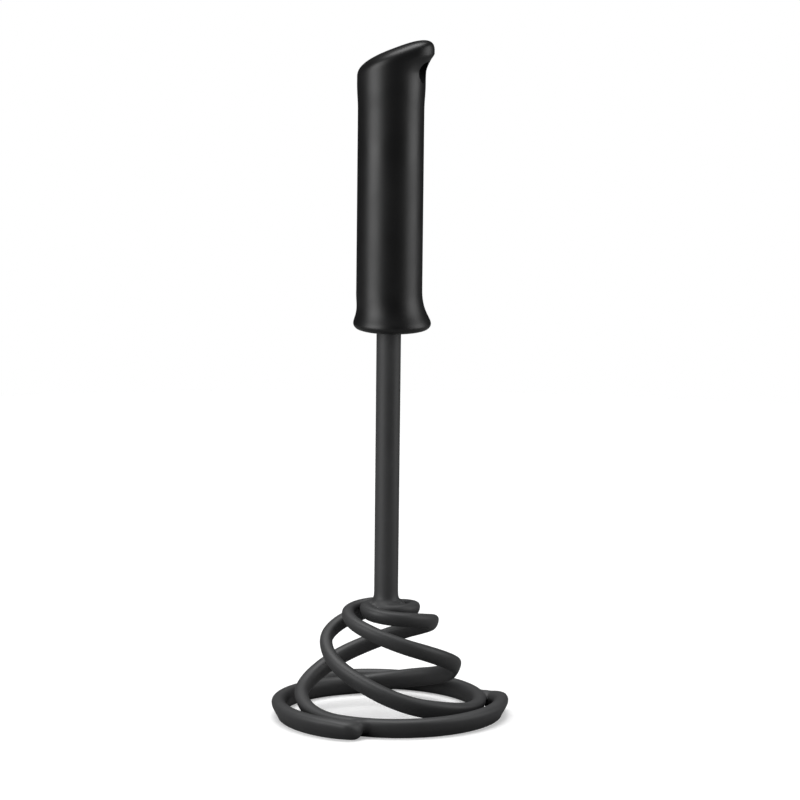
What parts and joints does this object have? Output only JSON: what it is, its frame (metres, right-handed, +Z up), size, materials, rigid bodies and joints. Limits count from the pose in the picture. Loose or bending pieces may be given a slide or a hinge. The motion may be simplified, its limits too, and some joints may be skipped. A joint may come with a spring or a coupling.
{
  "type": "coil masher",
  "caption": "Hand masher with a round beaked handle, slim shaft and a springy conical coil head that presses flat and rebounds.",
  "frame": {"origin": "on the surface the masher stands on, at the centre of the bounding box of its footprint; the shaft's axis is 1.4 mm to -X and 2.0 mm to +Y of it", "axes": "+Z up along the shaft, +X the way the handle's beak points, XZ parallel to the handle's plane of symmetry"},
  "size_m": [0.0982, 0.1006, 0.2856],
  "materials": {
    "head_nylon": "matt dark grey filled nylon, fine moulded texture",
    "grip_satin": "satin black, soft to the touch",
    "core_plastic": "plain moulded, hidden inside the handle"
  },
  "bodies": {
    "base": {"base_ring": "head_nylon", "coil_strand_1": "head_nylon", "coil_strand_2": "head_nylon", "coil_strand_3": "head_nylon"},
    "handle": {"shaft": "head_nylon", "grip_shell": "grip_satin", "handle_core": "core_plastic"}
  },
  "joints": [
    {"name": "press", "type": "slide", "parent": "base", "child": "handle", "axis": [0, 0, -1], "range_m": [0, 0.038], "stiffness_N_per_m": 1200, "deforming": ["coil_strand_1", "coil_strand_2", "coil_strand_3"]}
  ]
}
